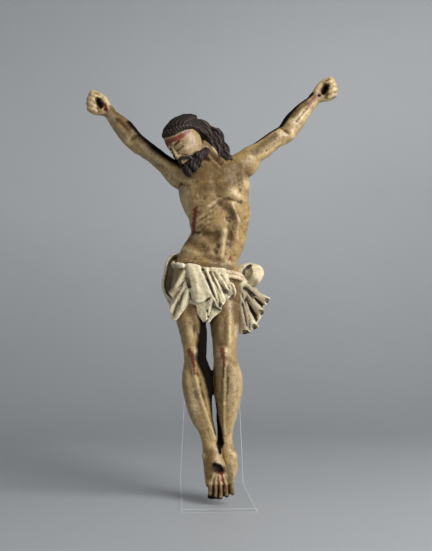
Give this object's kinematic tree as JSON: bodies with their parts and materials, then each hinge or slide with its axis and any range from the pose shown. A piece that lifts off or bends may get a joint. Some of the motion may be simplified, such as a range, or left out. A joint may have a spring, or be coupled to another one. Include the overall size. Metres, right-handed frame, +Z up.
{
  "type": "crucifix corpus figure",
  "caption": "Carved and painted wooden corpus with raised arms, bowed head and pleated loincloth, held up by a bent clear acrylic display stand.",
  "frame": {"origin": "middle of the underside of the stand's foot", "axes": "+Z up, the figure faces -Y, its right hand is towards -X"},
  "size_m": [0.2679, 0.15, 0.4415],
  "materials": {
    "painted_wood": "aged oil paint on gesso, semi-gloss flesh, matt cream cloth",
    "clear_acrylic": "clear, polished",
    "brass": "bright"
  },
  "bodies": {
    "root": {"corpus_figure": "painted_wood", "display_stand": "clear_acrylic", "fixing_screw": "brass"}
  },
  "joints": []
}
